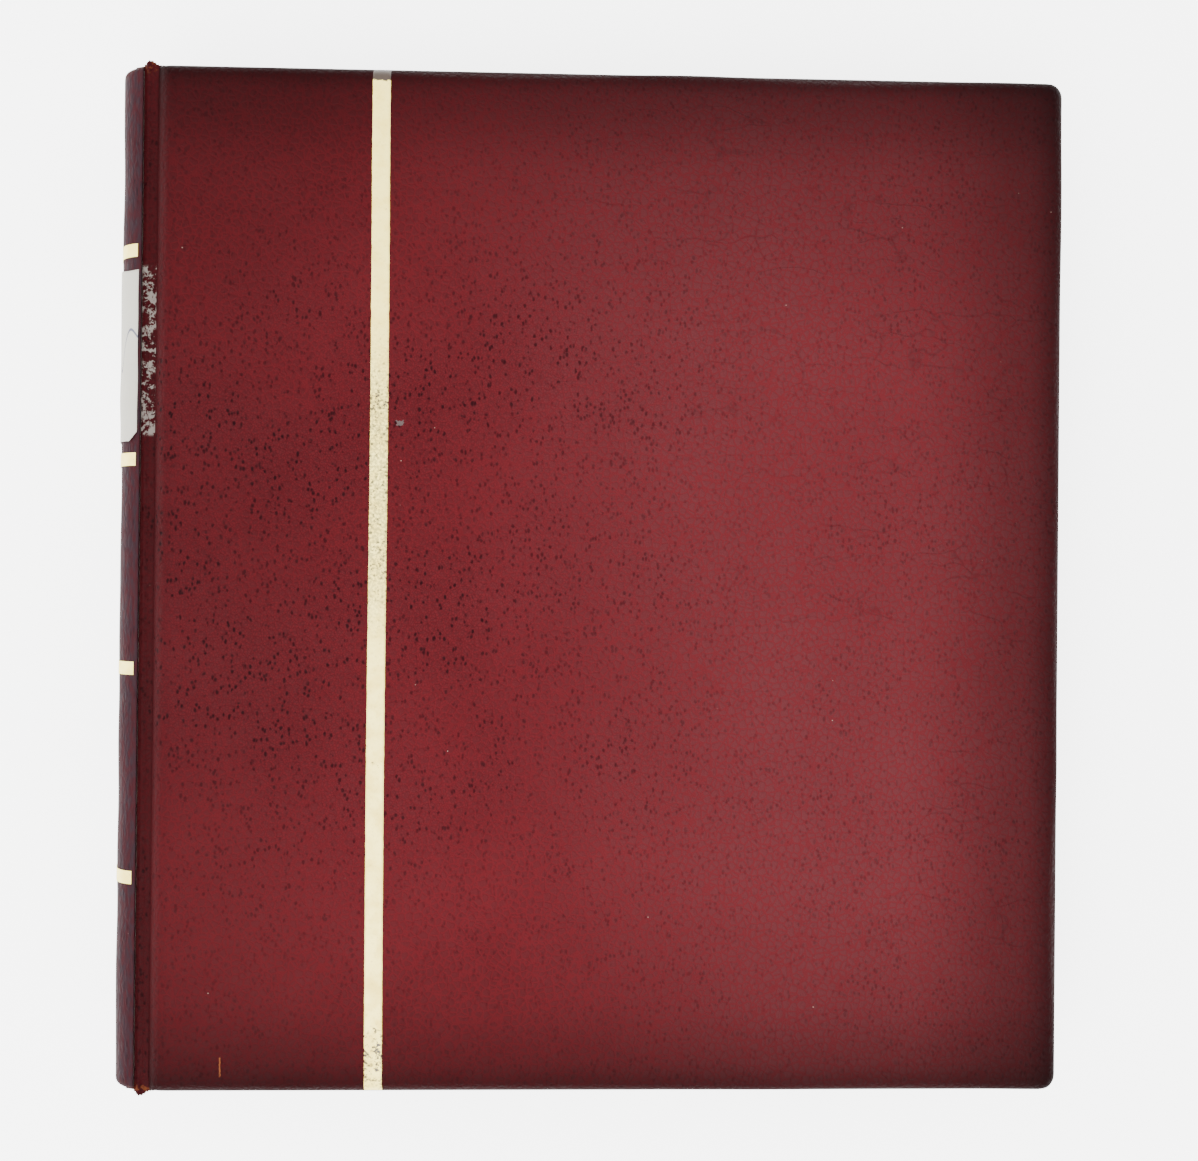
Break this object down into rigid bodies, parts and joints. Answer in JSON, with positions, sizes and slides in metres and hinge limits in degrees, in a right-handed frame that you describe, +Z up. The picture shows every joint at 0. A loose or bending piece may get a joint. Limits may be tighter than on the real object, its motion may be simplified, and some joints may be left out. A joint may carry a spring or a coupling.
{
  "type": "coin album",
  "caption": "Padded burgundy leatherette coin album with a gold line and spine bars, a four-ring mechanism and six pocket leaves; covers, rings and leaves move",
  "frame": {"origin": "under the middle of the closed album's box, on the plane that its back cover lies on", "axes": "+Y from the tail to the head of the album, +X from the spine to the fore edge, +Z up through the back cover to the front cover"},
  "size_m": [0.2507, 0.266, 0.0498],
  "materials": {
    "burgundy_leather": "pebble-grained leatherette, soft sheen",
    "gold_foil": "worn pale gold hot-stamped foil",
    "foam": "soft open foam",
    "greyboard": "raw greyboard",
    "lining_paper": "dark red embossed lining paper",
    "label_paper": "aged cream paper",
    "ring_steel": "nickel-plated steel",
    "clear_film": "clear soft film",
    "interleaf_card": "matt card"
  },
  "bodies": {
    "back_cover": {"back_cover_leather": "burgundy_leather", "back_cover_padding": "foam", "back_cover_board": "greyboard", "back_cover_filling_card": "greyboard", "back_cover_lining": "lining_paper"},
    "front_cover": {"front_cover_leather": "burgundy_leather", "front_cover_padding": "foam", "front_cover_board": "greyboard", "front_cover_filling_card": "greyboard", "front_cover_lining": "lining_paper", "front_cover_gold_line": "gold_foil"},
    "spine": {"spine_leather": "burgundy_leather", "spine_padding": "foam", "spine_board": "greyboard", "spine_lining": "lining_paper", "spine_gold_bars": "gold_foil", "spine_label": "label_paper", "back_joint_leather": "burgundy_leather", "back_joint_lining": "lining_paper", "front_joint_leather": "burgundy_leather", "front_joint_lining": "lining_paper", "mechanism_rail": "ring_steel", "mechanism_rivets": "ring_steel"},
    "lower_rings": {"lower_blade": "ring_steel", "lower_half_ring_1": "ring_steel", "lower_half_ring_2": "ring_steel", "lower_half_ring_3": "ring_steel", "lower_half_ring_4": "ring_steel"},
    "upper_rings": {"upper_blade": "ring_steel", "upper_half_ring_1": "ring_steel", "upper_half_ring_2": "ring_steel", "upper_half_ring_3": "ring_steel", "upper_half_ring_4": "ring_steel"},
    "leaf_1": {"leaf_1_pocket_sheet": "clear_film", "leaf_1_interleaf": "interleaf_card"},
    "leaf_2": {"leaf_2_pocket_sheet": "clear_film", "leaf_2_interleaf": "interleaf_card"},
    "leaf_3": {"leaf_3_pocket_sheet": "clear_film", "leaf_3_interleaf": "interleaf_card"},
    "leaf_4": {"leaf_4_pocket_sheet": "clear_film", "leaf_4_interleaf": "interleaf_card"},
    "leaf_5": {"leaf_5_pocket_sheet": "clear_film", "leaf_5_interleaf": "interleaf_card"},
    "leaf_6": {"leaf_6_pocket_sheet": "clear_film", "leaf_6_interleaf": "interleaf_card"}
  },
  "joints": [
    {"name": "spine_hinge", "type": "hinge", "parent": "back_cover", "child": "spine", "pos_m": [-0.11475, 0, 0.0052], "axis": [0, -1, 0], "range_deg": [0, 58], "deforming": ["back_joint_leather", "back_joint_lining"]},
    {"name": "front_hinge", "type": "hinge", "parent": "spine", "child": "front_cover", "pos_m": [-0.11475, 0, 0.0448], "axis": [0, -1, 0], "range_deg": [0, 127], "deforming": ["front_joint_leather", "front_joint_lining"]},
    {"name": "lower_ring_hinge", "type": "hinge", "parent": "spine", "child": "lower_rings", "pos_m": [-0.11475, 0, 0.0138], "axis": [0, 1, 0], "range_deg": [0, 5]},
    {"name": "upper_ring_hinge", "type": "hinge", "parent": "spine", "child": "upper_rings", "pos_m": [-0.11475, 0, 0.0362], "axis": [0, -1, 0], "range_deg": [0, 5]},
    {"name": "leaf_1_turn", "type": "hinge", "parent": "spine", "child": "leaf_1", "pos_m": [-0.0954, 0, 0.03161], "axis": [0, -1, 0], "range_deg": [0, 126.1]},
    {"name": "leaf_2_turn", "type": "hinge", "parent": "spine", "child": "leaf_2", "pos_m": [-0.09377, 0, 0.03072], "axis": [0, -1, 0], "range_deg": [0, 123.1]},
    {"name": "leaf_3_turn", "type": "hinge", "parent": "spine", "child": "leaf_3", "pos_m": [-0.09253, 0, 0.02945], "axis": [0, -1, 0], "range_deg": [0, 120.1]},
    {"name": "leaf_4_turn", "type": "hinge", "parent": "spine", "child": "leaf_4", "pos_m": [-0.09675, 0, 0.025], "axis": [0, -1, 0], "range_deg": [-59.84, 0]},
    {"name": "leaf_5_turn", "type": "hinge", "parent": "spine", "child": "leaf_5", "pos_m": [-0.09675, 0, 0.025], "axis": [0, -1, 0], "range_deg": [-59.84, 0]},
    {"name": "leaf_6_turn", "type": "hinge", "parent": "spine", "child": "leaf_6", "pos_m": [-0.09675, 0, 0.025], "axis": [0, -1, 0], "range_deg": [-59.84, 0]}
  ],
  "couplings": [
    {"joint": "upper_ring_hinge", "follows": "lower_ring_hinge", "ratio": 1},
    {"joint": "leaf_1_turn", "follows": "front_hinge", "ratio": 0.99213},
    {"joint": "leaf_2_turn", "follows": "front_hinge", "ratio": 0.9685},
    {"joint": "leaf_3_turn", "follows": "front_hinge", "ratio": 0.94488},
    {"joint": "leaf_4_turn", "follows": "spine_hinge", "ratio": -1.03},
    {"joint": "leaf_5_turn", "follows": "spine_hinge", "ratio": -1.03},
    {"joint": "leaf_6_turn", "follows": "spine_hinge", "ratio": -1.03}
  ]
}
